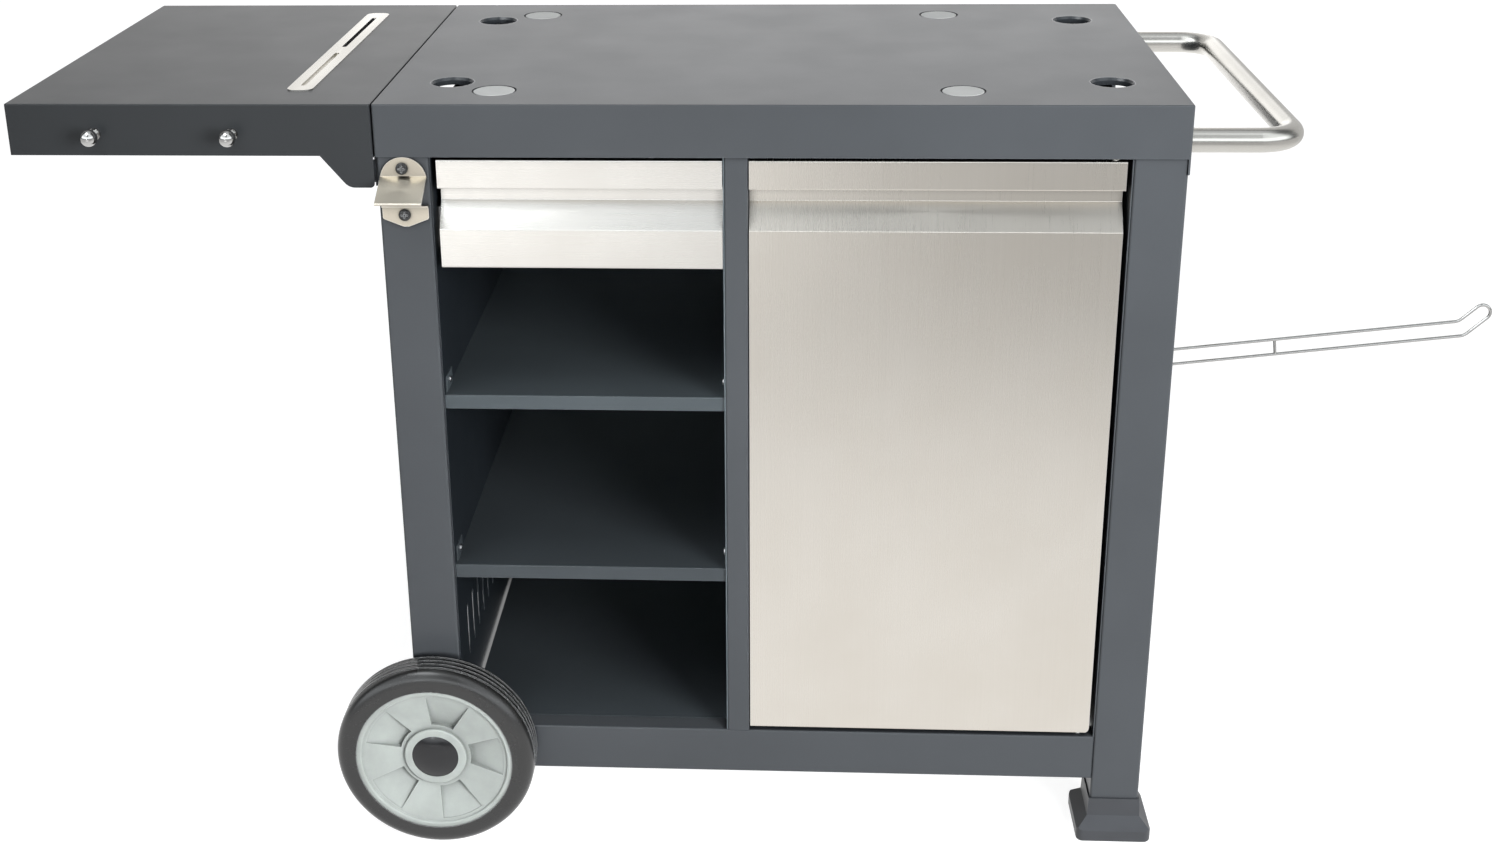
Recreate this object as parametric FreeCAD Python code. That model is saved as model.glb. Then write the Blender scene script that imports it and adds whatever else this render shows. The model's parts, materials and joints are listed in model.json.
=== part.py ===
import FreeCAD, Part
import math
import os

os.makedirs("parts", exist_ok=True)

V = FreeCAD.Vector

# ---------------------------------------------------------------------------
# Driving dimensions, in millimetres.
# X runs from the cabinet's centre to its right, Z up from the floor.
# Depths marked "_d" are measured back from the front face of the worktop.
# ---------------------------------------------------------------------------

frame_sheet = 1.5       # folded steel of worktop, legs and rails
panel_sheet = 1.2       # lighter steel of panels, shelves and the stainless skins
drawer_sheet = 1.0      # drawer tray
opener_sheet = 2.0      # bottle opener and other thick pressings

top_width = 845.0
top_depth = 529.0
top_height = 878.5
front_skirt = 56.5      # height of the worktop's front and back skirts
right_skirt = 73.5      # the right-hand skirt reaches lower, down over the leg
corner_radius = 2.5
edge_radius = 1.5

hole_x = 354.0          # the four holes that locate a cooking unit's feet
hole_front_d = 100.0
hole_back_d = 427.0
cup_outer_r = 24.2
cup_bore_r = 21.4
cup_depth = 8.0
cup_flange_r = 27.0
cup_flange_depth = 5.5
cup_mouth_grow = 1.8    # the bore's mouth is chamfered by this much
cup_mouth_depth = 3.0

pad_left_x = -302.5     # flush round pads
pad_right_x = 193.5
pad_front_d = 61.5
pad_back_d = 460.5
pad_r = 22.0
pad_ring_width = 2.0
pad_ring_low = 0.8      # the ring lies this far below the worktop
pad_depth = 6.0
pad_flange_r = 27.0
pad_flange_depth = 4.0
pad_edge = 0.6

leg_outer_x = 421.0
leg_inner_x = 365.5
leg_depth = 50.0
leg_corner = 3.0
left_leg_bottom = 76.8
right_leg_bottom = 20.0
leg_mid_x = 393.25

rail_bottom = 76.8
rail_height = 56.0
rail_depth = 25.0
rail_front_d = 2.0
side_rail_depth = 15.0
rail_corner = 2.0

mullion_left_x = -56.0
mullion_right_x = -31.0

panel_front_d = 3.0
side_panel_top_z = 858.0   # stops short of the locating holes
louvre_count = 13
louvre_first_d = 59.5
louvre_last_d = 469.5
louvre_width = 7.0
louvre_low_z = 195.0
louvre_high_z = 261.0
pan_gap = 2.8           # open strip between the bottom pan and the side panels
pan_flange = 20.0

upper_shelf_z = 550.0
lower_shelf_z = 341.0
shelf_lip = 16.0
shelf_front_d = 6.0
shelf_tab_height = 18.0
shelf_tab_length = 30.0
shelf_tab_d = 16.0
shelf_screw_rise = 9.0
back_screw_inset = 14.0

front_skin_d = 3.0      # outer face of the door and drawer fronts
front_back_d = 28.0     # back edge of the folded fronts
front_top_z = 819.0
pull_band_z = 786.5     # bottom edge of the band above the finger pull
pull_deep_z = 770.0     # top of the slope at the back of the finger pull
pull_depth = 19.0
pull_end_z = 741.5
fold_radii = [2.6, 1.6, 0.8, 1.5, 2.0, 2.6]   # from the top fold down the front
drawer_left_x = -358.4
drawer_right_x = -58.0
drawer_bottom_z = 698.3
door_left_x = -30.0
door_right_x = 359.0
door_bottom_z = 136.4
door_corner = 8.0

tray_low_z = 705.0
tray_high_z = 775.0
tray_length = 440.0
slide_width = 12.7       # room between a side wall and the drawer box
slide_z = 735.0
slide_start_d = 34.0
slide_length = 430.0
slide_wall = 1.2
slide_ball_r = 2.0
slide_play = 0.025      # gap between each ball and its track
slide_outer_half = 22.5
slide_ball_out = 7.6    # "_out" distances run out from the side wall
slide_cabinet_out = 11.4
slide_middle_near_out = 2.7
slide_middle_far_out = 11.0
slide_drawer_near_out = 5.2
slide_ball_step = 8.0

hinge_x = 348.0         # door pivot
hinge_d = 13.0
hinge_pin_r = 2.0
hinge_pin_low_z = 125.8
hinge_pin_low_length = 30.0
hinge_pin_high_drop = 22.0   # below the door's top
hinge_pin_high_length = 36.0
pin_block_width = 16.0
pin_block_height = 12.0
pin_block_d = 8.0
bush_flange_r = 3.4
bush_spigot_r = 3.0
bush_spigot_length = 8.0
bush_gap = 0.3
running_play = 0.05     # radial clearance of every turning fit

wheel_r = 115.0
wheel_width = 46.0
wheel_front_d = -48.0   # outer face of the front wheel
tyre_inner_r = 90.5
tyre_shoulder_out = 14.0
tyre_shoulder_in = 9.0
groove_count = 4
groove_width = 2.4
groove_depth = 2.0
groove_pitch = 7.5
groove_middle_a = 25.0    # "_a" depths run inward from the wheel's outer face
hub_rim_wall = 4.0
hub_lip_r = 84.0
hub_collar_r = 36.0
hub_cap_r = 27.0
hub_boss_r = 24.0
hub_lip_a = 3.5
hub_dish_a = 12.5
hub_collar_a = 8.5
hub_web = 8.0
hub_pocket_inner = 6.0   # pocket depth beside the collar
hub_pocket_outer = 0.8   # pocket depth beside the lip
hub_pocket_count = 5
hub_pocket_angle = 36.0
hub_pocket_start = -22.0
cap_tip_a = 3.0
cap_rim_a = 9.0
cap_wall = 1.5
axle_r = 8.0
axle_end_a = 10.0
axle_z = 115.0
spacer_r = 14.0
wheel_side_gap = 0.5
retainer_r = 12.0
retainer_thickness = 1.4

foot_top_z = 51.0
foot_waist_z = 29.0
foot_flare_z = 16.0
foot_wall = 1.5
foot_waist_grow = 1.0
foot_flare_grow = 15.0
foot_edge = 4.0

handle_r = 13.0
handle_wall = 1.5
handle_z = 835.0
handle_front_d = 27.5
handle_back_d = 501.5
handle_reach_x = 536.0
handle_bend = 40.0
handle_bolt_r = 4.0
plug_length = 22.0

shelf_seam_x = -424.0   # side shelf
shelf_end_x = -812.5
shelf_skirt = 55.5
ear_pivot_x = -445.0
ear_pivot_z = 805.0
ear_drop_z = 788.5
ear_chamfer_x = -451.5
ear_sheet = 1.3          # thinner than the frame, so that it swings clear of the leg
ear_round_left = 14.0
ear_round_right = 4.5
seam_skirt = 58.0        # height of the side shelf's skirt beside the worktop
ear_outer_x = -481.0
shelf_pin_r = 4.0
shelf_pin_gap = 0.3
shelf_pin_tail = 3.0
shelf_collar_r = 8.0
shelf_clip_r = 7.0
shelf_clip_thickness = 1.5
bracket_d = 6.0
bracket_sheet = 3.0
bracket_reach = 12.0
bracket_low_z = 789.0
bracket_high_z = 820.2
bracket_flange_length = 34.0

plate_left_x = -527.0   # slotted plate let onto the side shelf
plate_right_x = -499.0
plate_front_d = 58.0
plate_back_d = 470.0
plate_sheet = 1.2
plate_round = 10.0
plate_channel_wall = 2.0  # closed channel pressed down under the near slot
plate_channel_depth = 3.4
slot_x = -513.0
slot_width = 5.5
slot_near_front_d = 78.0
slot_near_back_d = 240.0
slot_far_front_d = 271.0
slot_far_back_d = 440.0

knob_left_x = -718.2    # utensil pegs on the side shelf's front
knob_right_x = -571.5
knob_z = 846.5
knob_ball_r = 9.0
knob_ball_out = 18.0
knob_neck_r = 4.0
knob_base_r = 6.5
knob_base_height = 2.5
knob_thread_r = 3.0
knob_thread_length = 10.0
knob_nut_corner_r = 5.8
knob_nut_height = 5.0

opener_x = -393.0
opener_half = 24.7
opener_top_z = 822.0
opener_bend_z = 801.5
opener_lip_z = 782.0
opener_lip_out = 37.5
opener_lip_r = 1.5
opener_jaw_z = 769.5
opener_shoulder_z = 754.6
opener_tip_z = 746.0
opener_tip_half = 3.0
opener_jaw_round = 3.0
opener_spine_share = 0.45
opener_tooth = 3.0
opener_screw_x = -394.0
opener_screw_high_z = 809.8
opener_screw_low_z = 759.0
opener_head_r = 6.5

arm_wire_r = 2.0        # wire towel arm on the right side
arm_spacing = 19.0
arm_bend_x = 815.3
arm_bend_z = 530.8
arm_slope = math.radians(6.7)
arm_tip_slope = math.radians(43.0)
arm_tip_length = 33.0
arm_tie_x = 596.0
arm_plate_sheet = 3.0
arm_plate_height = 62.0
arm_plate_width = 36.0
arm_bend_radius = 14.0

pan_head_r = 6.0
pan_head_height = 3.2
bolt_shank_r = 3.0
bolt_shank_length = 8.0
small_head_r = 4.0
small_head_height = 2.2
small_shank_r = 2.0
small_shank_length = 6.0
bolt_above_rail = 16.0   # frame bolts sit above the bottom rails and
bolt_in_rail = 10.0      # this far above the rails' lower edge
bracket_bolt_depths = (14.0, 27.0)

magnet_width = 18.0      # magnetic catch beside the mullion
magnet_depth = 14.0
magnet_low_z = 600.0
magnet_high_z = 650.0
magnet_gap = 2.0
magnet_edge = 4.0
magnet_bracket_sheet = 8.0
strike_sheet = 1.6
strike_inset = 3.0


# ---------------------------------------------------------------------------
# Derived positions
# ---------------------------------------------------------------------------

front_y = -top_depth / 2


def at(depth):
    """Y position of a depth measured back from the worktop's front face."""
    return front_y + depth


back_y = at(top_depth)
top_under_z = top_height - frame_sheet
skirt_bottom_z = top_height - front_skirt
rail_top_z = rail_bottom + rail_height
side_inner_x = leg_inner_x - panel_sheet
partition_left_x = mullion_left_x - panel_sheet
rear_rail_d = top_depth - rail_front_d - rail_depth - 1.0
back_panel_d = rear_rail_d + rail_depth
back_panel_end_d = back_panel_d + panel_sheet
left_centre_x = -leg_mid_x

arm_end_centre_x = (arm_bend_x + arm_tip_length * math.cos(arm_tip_slope)
                    - arm_spacing / 2 * math.sin(arm_tip_slope))
arm_tip_x = arm_end_centre_x + arm_spacing / 2 + arm_wire_r

# The exported row stands on the floor, centred under its own outline.
origin_shift = V(-(shelf_end_x + arm_tip_x) / 2, 0, 0)


# ---------------------------------------------------------------------------
# Helpers
# ---------------------------------------------------------------------------

def box(x0, x1, y0, y1, z0, z1):
    return Part.makeBox(x1 - x0, y1 - y0, z1 - z0, V(x0, y0, z0))


def rod(start, direction, radius, length):
    return Part.makeCylinder(radius, length, start, direction)


def ring(start, direction, outer, inner, length):
    return rod(start, direction, outer, length).cut(rod(start, direction, inner, length))


def join(shapes):
    result = shapes[0]
    for shape in shapes[1:]:
        result = result.fuse(shape)
    return result.removeSplitter()


def group(shapes):
    return Part.makeCompound(shapes)


def prism(points, sweep):
    wire = Part.makePolygon(list(points) + [points[0]])
    return Part.Face(wire).extrude(sweep)


def edges_along(shape, axis):
    """Straight edges parallel to one row axis."""
    found = []
    for edge in shape.Edges:
        if isinstance(edge.Curve, Part.Line):
            direction = edge.tangentAt(edge.FirstParameter)
            if abs(abs(direction.dot(axis)) - 1) < 1e-6:
                found.append(edge)
    return found


def rounded_box(x0, x1, y0, y1, z0, z1, axis, radius):
    """A box with the four edges along one axis rounded."""
    block = box(x0, x1, y0, y1, z0, z1)
    return block.makeFillet(radius, edges_along(block, axis))


def tube(x0, x1, y0, y1, z0, z1, axis, radius, wall):
    """Rectangular hollow section, open at both ends along its axis."""
    outer = rounded_box(x0, x1, y0, y1, z0, z1, axis, radius)
    inset = V(wall, wall, wall) - V(abs(axis.x), abs(axis.y), abs(axis.z)) * wall
    inner = box(x0 + inset.x, x1 - inset.x, y0 + inset.y, y1 - inset.y, z0 + inset.z, z1 - inset.z)
    return outer.cut(inner)


def mirror_depth(shape):
    """The same piece on the other side of the cabinet's mid-depth plane."""
    return shape.mirror(V(0, 0, 0), V(0, 1, 0))


def rounded_path(points, radii):
    """Wire of straight runs joined by arcs, one bend radius per inner corner."""
    parts = []
    start = points[0]
    for here, after, radius in zip(points[1:-1], points[2:], radii):
        back = (start - here).normalize()
        ahead = (after - here).normalize()
        half = back.getAngle(ahead) / 2
        run = radius / math.tan(half)
        enter = here + back * run
        leave = here + ahead * run
        apex = here + (back + ahead).normalize() * (radius / math.sin(half) - radius)
        parts.append(Part.makeLine(start, enter))
        parts.append(Part.Arc(enter, apex, leave).toShape())
        start = leave
    parts.append(Part.makeLine(start, points[-1]))
    return Part.Wire(parts)


def sweep_round(path, start, direction, radius):
    circle = Part.Wire(Part.makeCircle(radius, start, direction))
    return path.makePipeShell([circle], True, False)


def pan_screw(seat, outward, head_r, head_height, shank_r, shank_length):
    """Domed cross-recess screw whose head sits on a surface."""
    flat = rod(seat, outward, head_r, head_height)
    rim = [edge for edge in flat.Edges
           if abs((edge.CenterOfMass - seat).dot(outward) - head_height) < 1e-6
           and not edge.isSeam(flat.Faces[0])]
    head = flat.makeFillet(head_height * 0.6, rim[:1])
    shank = rod(seat, outward * -1, shank_r, shank_length)
    side = V(0, 0, 1) if abs(outward.z) < 0.5 else V(1, 0, 0)
    other = outward.cross(side)
    tools = []
    for along, across in ((side, other), (other, side)):
        corner = seat + outward * (head_height * 0.45) - along * head_r * 0.55 - across * head_r * 0.1
        end_a = corner + along * head_r * 1.1
        end_b = end_a + across * head_r * 0.2
        end_c = corner + across * head_r * 0.2
        tools.append(prism([corner, end_a, end_b, end_c], outward * head_height))
    return join([head, shank]).cut(group(tools))


def drill(shape, screws):
    """Clear the holes that a set of fasteners passes through."""
    return shape.cut(group(screws))


# ---------------------------------------------------------------------------
# Worktop, its locating cups and pads
# ---------------------------------------------------------------------------

def folded_tray(x0, x1, y0, y1, z0, z1):
    """Sheet tray, open below, with rounded top edges and corners."""
    outer = rounded_box(x0, x1, y0, y1, z0, z1, V(0, 0, 1), corner_radius)
    top_edges = [edge for edge in outer.Edges if edge.BoundBox.ZMin > z1 - 1e-6]
    outer = outer.makeFillet(edge_radius, top_edges)
    wall = frame_sheet
    inner = rounded_box(x0 + wall, x1 - wall, y0 + wall, y1 - wall, z0 - 1, z1 - wall,
                        V(0, 0, 1), corner_radius - wall)
    return outer.cut(inner)


def hole_positions():
    return [(x, d) for x in (-hole_x, hole_x) for d in (hole_front_d, hole_back_d)]


def pad_positions():
    return [(x, d) for x in (pad_left_x, pad_right_x) for d in (pad_front_d, pad_back_d)]


def build_worktop():
    half = top_width / 2
    tray = folded_tray(-half, half, front_y, back_y, top_height - right_skirt, top_height)
    low = top_height - right_skirt - 1
    trim_left = box(-half - 1, half - corner_radius, front_y - 1, back_y + 1, low, skirt_bottom_z)
    tray = tray.cut(trim_left)
    holes = []
    for x, depth in hole_positions():
        holes.append(rod(V(x, at(depth), low), V(0, 0, 1), cup_outer_r, right_skirt + 5))
    for x, depth in pad_positions():
        holes.append(rod(V(x, at(depth), low), V(0, 0, 1), pad_r + pad_ring_width, right_skirt + 5))
    for depth in (handle_front_d, handle_back_d):
        holes.append(rod(V(half - 5, at(depth), handle_z), V(1, 0, 0), handle_bolt_r, 10))
    return tray.cut(group(holes))


def build_foot_cup(x, depth):
    centre = V(x, at(depth), top_height)
    body = rod(centre, V(0, 0, -1), cup_outer_r, cup_depth)
    flange = rod(centre - V(0, 0, frame_sheet), V(0, 0, -1), cup_flange_r, cup_flange_depth - frame_sheet)
    bore = rod(centre + V(0, 0, 1), V(0, 0, -1), cup_bore_r, cup_depth + 2)
    mouth = Part.makeCone(cup_bore_r + cup_mouth_grow, cup_bore_r, cup_mouth_depth, centre, V(0, 0, -1))
    return join([body, flange]).cut(group([bore, mouth]))


def build_pad_ring(x, depth):
    down = V(0, 0, -1)
    centre = V(x, at(depth), top_height)
    body = rod(centre + down * pad_ring_low, down, pad_r + pad_ring_width, pad_depth - pad_ring_low)
    flange = rod(centre + down * frame_sheet, down, pad_flange_r, pad_flange_depth - frame_sheet)
    hole = rod(centre, down, pad_r, pad_depth + 1)
    return join([body, flange]).cut(hole)


def build_pad(x, depth):
    centre = V(x, at(depth), top_height)
    disc = rod(centre, V(0, 0, -1), pad_r, pad_depth)
    rim = [edge for edge in disc.Edges if edge.BoundBox.ZMin > top_height - 1e-6]
    return disc.makeFillet(pad_edge, rim)


# ---------------------------------------------------------------------------
# Frame: legs, rails, mullion
# ---------------------------------------------------------------------------

def build_leg(left, front):
    bottom = left_leg_bottom if left else right_leg_bottom
    x0, x1 = (-leg_outer_x, -leg_inner_x) if left else (leg_inner_x, leg_outer_x)
    y0 = at(frame_sheet)
    leg = tube(x0, x1, y0, y0 + leg_depth, bottom, top_under_z, V(0, 0, 1), leg_corner, frame_sheet)
    if left:
        leg = leg.cut(rod(V(left_centre_x, y0 - 5, axle_z), V(0, 1, 0), axle_r, leg_depth + 10))
    else:
        bolt_start = V(leg_outer_x - 5, at(handle_front_d), handle_z)
        leg = leg.cut(rod(bolt_start, V(1, 0, 0), handle_bolt_r, 10))
    return leg if front else mirror_depth(leg)


def build_cross_rails(bottom, top):
    """Front and rear rails between the side panels."""
    rails = []
    for depth in (rail_front_d, rear_rail_d):
        rails.append(tube(-side_inner_x, side_inner_x, at(depth), at(depth + rail_depth),
                          bottom, top, V(1, 0, 0), rail_corner, frame_sheet))
    return rails


def build_side_rails():
    y0 = at(frame_sheet + leg_depth)
    right = tube(leg_inner_x, leg_inner_x + side_rail_depth, y0, -y0, rail_bottom, rail_top_z,
                 V(0, 1, 0), rail_corner, frame_sheet)
    return [right, right.mirror(V(0, 0, 0), V(1, 0, 0))]


def build_mullion():
    return tube(mullion_left_x, mullion_right_x, at(rail_front_d), at(rail_front_d + rail_depth),
                rail_top_z, skirt_bottom_z, V(0, 0, 1), rail_corner, frame_sheet)


# ---------------------------------------------------------------------------
# Panels, bottom pan and shelves
# ---------------------------------------------------------------------------

def build_side_panel(left):
    sheet = box(side_inner_x, leg_inner_x, at(panel_front_d), at(back_panel_end_d),
                rail_bottom, side_panel_top_z)
    pitch = (louvre_last_d - louvre_first_d) / (louvre_count - 1)
    half = louvre_width / 2
    slots = []
    for index in range(louvre_count):
        y = at(louvre_first_d + index * pitch)
        slot = rounded_box(side_inner_x - 5, leg_inner_x + 5, y - half, y + half,
                           louvre_low_z, louvre_high_z, V(1, 0, 0), half - 0.01)
        slots.append(slot)
    sheet = sheet.cut(group(slots))
    return sheet.mirror(V(0, 0, 0), V(1, 0, 0)) if left else sheet


def build_back_panel():
    return box(-side_inner_x, side_inner_x, at(back_panel_d), at(back_panel_end_d), rail_bottom, top_under_z)


def build_partition():
    return box(partition_left_x, mullion_left_x, at(panel_front_d), at(back_panel_d),
               rail_top_z, skirt_bottom_z)


def build_bottom_pan():
    edge = side_inner_x - pan_gap
    front = rail_front_d + rail_depth
    rear = rear_rail_d
    low = rail_top_z - panel_sheet
    top = box(-edge, edge, at(front), at(rear), low, rail_top_z)
    front_flange = box(-edge, edge, at(front), at(front) + panel_sheet, low - pan_flange, low)
    rear_flange = box(-edge, edge, at(rear) - panel_sheet, at(rear), low - pan_flange, low)
    return join([top, front_flange, rear_flange])


def build_shelf(height):
    """Shelf with folded lips and four upturned screw tabs."""
    left, right = -side_inner_x, partition_left_x
    front, rear = at(shelf_front_d), at(back_panel_d - 2.0)
    plate = box(left, right, front, rear, height - panel_sheet, height)
    front_lip = box(left, right, front, front + panel_sheet, height - shelf_lip, height)
    rear_lip = box(left, right, rear - panel_sheet, rear, height - shelf_lip, height)
    parts = [plate, front_lip, rear_lip]
    for x0 in (left, right - panel_sheet):
        for y0 in (at(shelf_tab_d), at(back_panel_d - shelf_tab_d - shelf_tab_length)):
            tab = box(x0, x0 + panel_sheet, y0, y0 + shelf_tab_length, height, height + shelf_tab_height)
            parts.append(tab)
    shelf = join(parts)
    bend = [edge for edge in edges_along(shelf, V(1, 0, 0))
            if edge.CenterOfMass.z > height - 1e-6 and abs(edge.CenterOfMass.y - front) < 1e-6]
    return shelf.makeFillet(panel_sheet * 0.9, bend)


def shelf_screw_seats():
    seats = []
    middle = shelf_tab_length / 2
    for height in (upper_shelf_z, lower_shelf_z):
        for x, outward in ((-side_inner_x + panel_sheet, V(1, 0, 0)),
                           (partition_left_x - panel_sheet, V(-1, 0, 0))):
            for y in (at(shelf_tab_d + middle), at(back_panel_d - shelf_tab_d - middle)):
                seats.append((V(x, y, height + shelf_screw_rise), outward))
    return seats


def back_screw_seats():
    seats = []
    y = at(back_panel_end_d)
    column = side_inner_x - back_screw_inset
    low_z = rail_bottom + rail_height / 2
    high_z = skirt_bottom_z - back_screw_inset
    rows = 4
    for row in range(rows):
        z = low_z + (high_z - low_z) * row / (rows - 1)
        for x in (-column, column):
            seats.append((V(x, y, z), V(0, 1, 0)))
    for z in (low_z, high_z):
        seats.append((V(0, y, z), V(0, 1, 0)))
    return seats


# ---------------------------------------------------------------------------
# Folded stainless fronts with a finger pull
# ---------------------------------------------------------------------------

def front_blank(x0, x1, bottom, shrink, corners):
    """Solid blank of a front; shrink > 0 gives the blank for its hollow."""
    tilt = math.atan2(pull_depth, pull_deep_z - pull_end_z)
    drop = shrink * math.tan(tilt / 2)
    face_y = at(front_skin_d + shrink)
    deep_y = at(front_skin_d + pull_depth + shrink)
    rear_y = at(front_back_d + (1.0 if shrink else 0.0))
    top, low = front_top_z - shrink, bottom + shrink
    band_z = pull_band_z + shrink
    points = [V(0, rear_y, top), V(0, face_y, top), V(0, face_y, band_z), V(0, deep_y, band_z),
              V(0, deep_y, pull_deep_z - drop), V(0, face_y, pull_end_z - drop),
              V(0, face_y, low), V(0, rear_y, low)]
    profile = rounded_path(points, fold_radii)
    back = Part.makeLine(points[-1], points[0])
    wire = Part.Wire(Part.__sortEdges__(list(profile.Edges) + [back]))
    left, right = x0 + shrink, x1 - shrink
    blank = Part.Face(wire).extrude(V(right - left, 0, 0))
    blank.translate(V(left, 0, 0))

    outline = box(left, right, front_y - 20, at(front_back_d + 20), low, top)
    rounded = []
    for edge in edges_along(outline, V(0, 1, 0)):
        place = edge.CenterOfMass
        for x, z in corners:
            if abs(place.x - x) < 10 and abs(place.z - z) < 10:
                rounded.append(edge)
    if rounded:
        outline = outline.makeFillet(max(door_corner - shrink, 1.0), rounded)
    return blank.common(outline)


def folded_front(x0, x1, bottom, corners):
    outer = front_blank(x0, x1, bottom, 0.0, corners)
    inner = front_blank(x0, x1, bottom, panel_sheet, corners)
    return outer.cut(inner)


def build_liner(x0, x1, bottom):
    return box(x0, x1, at(front_back_d), at(front_back_d) + panel_sheet, bottom, front_top_z)


def build_door_skin():
    skin = folded_front(door_left_x, door_right_x, door_bottom_z, [(door_right_x, door_bottom_z)])
    return skin.cut(group(door_pin_shapes()))


def build_door_liner():
    inset = 1.0
    sheet = build_liner(door_left_x + inset, door_right_x - inset, door_bottom_z + inset)
    edge = [e for e in edges_along(sheet, V(0, 1, 0))
            if e.CenterOfMass.x > 0 and e.CenterOfMass.z < 400]
    return sheet.makeFillet(door_corner, edge)


def door_pin_shapes():
    up = V(0, 0, 1)
    low = rod(V(hinge_x, at(hinge_d), hinge_pin_low_z), up, hinge_pin_r, hinge_pin_low_length)
    high_z = front_top_z - hinge_pin_high_drop
    high = rod(V(hinge_x, at(hinge_d), high_z), up, hinge_pin_r, hinge_pin_high_length)
    return [low, high]


def door_pin_blocks():
    """Blocks inside the door that hold its two pins."""
    blocks = []
    half = pin_block_width / 2
    low_z = door_bottom_z + door_corner / 2
    high_z = front_top_z - panel_sheet - pin_block_height
    for z in (low_z, high_z):
        blocks.append(box(hinge_x - half, hinge_x + half, at(pin_block_d), at(front_back_d),
                          z, z + pin_block_height))
    return [block.cut(group(door_pin_shapes())) for block in blocks]


def door_bushes():
    """Two flanged nylon bushes: one under the top rail, one on the bottom rail."""
    up = V(0, 0, 1)
    centre = V(hinge_x, at(hinge_d), 0)
    hole = rod(centre, up, hinge_pin_r + running_play, top_height)
    flange_ends = ((rail_top_z, door_bottom_z - bush_gap), (front_top_z + bush_gap, skirt_bottom_z))
    bushes = []
    for (low, high), spigot in zip(flange_ends, bush_spigots()):
        flange = rod(centre + up * low, up, bush_flange_r, high - low)
        bushes.append(join([flange, spigot]).cut(hole))
    return bushes


def bush_spigots():
    """The parts of the bushes inside the rails, also used to bore the rails."""
    up = V(0, 0, 1)
    centre = V(hinge_x, at(hinge_d), 0)
    starts = (rail_top_z - bush_spigot_length, skirt_bottom_z)
    return [rod(centre + up * z, up, bush_spigot_r, bush_spigot_length) for z in starts]


# ---------------------------------------------------------------------------
# Drawer tray and its telescopic slides
# ---------------------------------------------------------------------------

def build_drawer_box():
    x0 = -side_inner_x + slide_width
    x1 = partition_left_x - slide_width
    y0 = at(front_back_d) + panel_sheet
    outer = box(x0, x1, y0, y0 + tray_length, tray_low_z, tray_high_z)
    wall = drawer_sheet
    inner = box(x0 + wall, x1 - wall, y0 + wall, y0 + tray_length - wall, tray_low_z + wall, tray_high_z + 1)
    return outer.cut(inner)


def channel(wall_x, side, near, far, half_height, web_near, web_far):
    """Channel beside a wall; near, far and web run out from the wall."""
    y0 = at(slide_start_d)
    y1 = y0 + slide_length

    def slab(a, b, z0, z1):
        xs = sorted((wall_x + side * a, wall_x + side * b))
        return box(xs[0], xs[1], y0, y1, z0, z1)

    web = slab(web_near, web_far, slide_z - half_height, slide_z + half_height)
    low = slab(near, far, slide_z - half_height, slide_z - half_height + slide_wall)
    high = slab(near, far, slide_z + half_height - slide_wall, slide_z + half_height)
    return join([web, low, high])


slide_walls = ((-side_inner_x, 1), (partition_left_x, -1))
ball_track = 2 * slide_ball_r + 2 * slide_play
middle_half = slide_outer_half - slide_wall - ball_track
inner_half = middle_half - slide_wall - ball_track


def slide_cabinet_members():
    return [channel(x, side, 0, slide_cabinet_out, slide_outer_half, 0, slide_wall)
            for x, side in slide_walls]


def slide_middle_members():
    near = slide_middle_near_out
    return [channel(x, side, near, slide_middle_far_out, middle_half, near, near + slide_wall)
            for x, side in slide_walls]


def slide_drawer_members():
    near, far = slide_drawer_near_out, slide_width
    return [channel(x, side, near, far, inner_half, far - slide_wall, far) for x, side in slide_walls]


def slide_balls():
    balls = []
    tracks = (middle_half + slide_play + slide_ball_r, middle_half - slide_wall - slide_play - slide_ball_r)
    mid_y = at(slide_start_d) + slide_length / 2
    for x, side in slide_walls:
        for rise in tracks:
            for sign in (-1, 1):
                for step in (-1, 1):
                    ball_x = x + side * slide_ball_out
                    ball_y = mid_y + step * slide_ball_step
                    balls.append(Part.makeSphere(slide_ball_r, V(ball_x, ball_y, slide_z + sign * rise)))
    return balls


# ---------------------------------------------------------------------------
# Wheels and axle
# ---------------------------------------------------------------------------

def wheel_point(radius, inward):
    return V(left_centre_x + radius, at(wheel_front_d) + inward, axle_z)


def turned(outline, angle=360.0):
    """Solid turned about the axle from (radius, inward) corners."""
    points = [wheel_point(radius, inward) for radius, inward in outline]
    wire = Part.makePolygon(points + [points[0]])
    return Part.Face(wire).revolve(wheel_point(0, 0), V(0, 1, 0), angle)


def build_tyre():
    body = turned([(tyre_inner_r, 0), (wheel_r, 0), (wheel_r, wheel_width), (tyre_inner_r, wheel_width)])
    for inward, radius in ((0, tyre_shoulder_out), (wheel_width, tyre_shoulder_in)):
        plane_y = at(wheel_front_d) + inward
        circles = [edge for edge in body.Edges if isinstance(edge.Curve, Part.Circle)]
        shoulder = [edge for edge in circles
                    if abs(edge.Curve.Radius - wheel_r) < 1e-6
                    and abs(edge.Curve.Center.y - plane_y) < 1e-6]
        body = body.makeFillet(radius, shoulder)
    grooves = []
    first = groove_middle_a - groove_pitch * (groove_count - 1) / 2
    for index in range(groove_count):
        middle = first + index * groove_pitch
        half = groove_width / 2
        grooves.append(turned([(wheel_r - groove_depth, middle - half), (wheel_r + 1, middle - half),
                               (wheel_r + 1, middle + half), (wheel_r - groove_depth, middle + half)]))
    return body.cut(group(grooves))


def dish_depth(radius):
    """How far in the dished web lies at a radius."""
    share = (hub_lip_r - radius) / (hub_lip_r - hub_collar_r)
    return hub_lip_a + share * (hub_dish_a - hub_lip_a)


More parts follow.
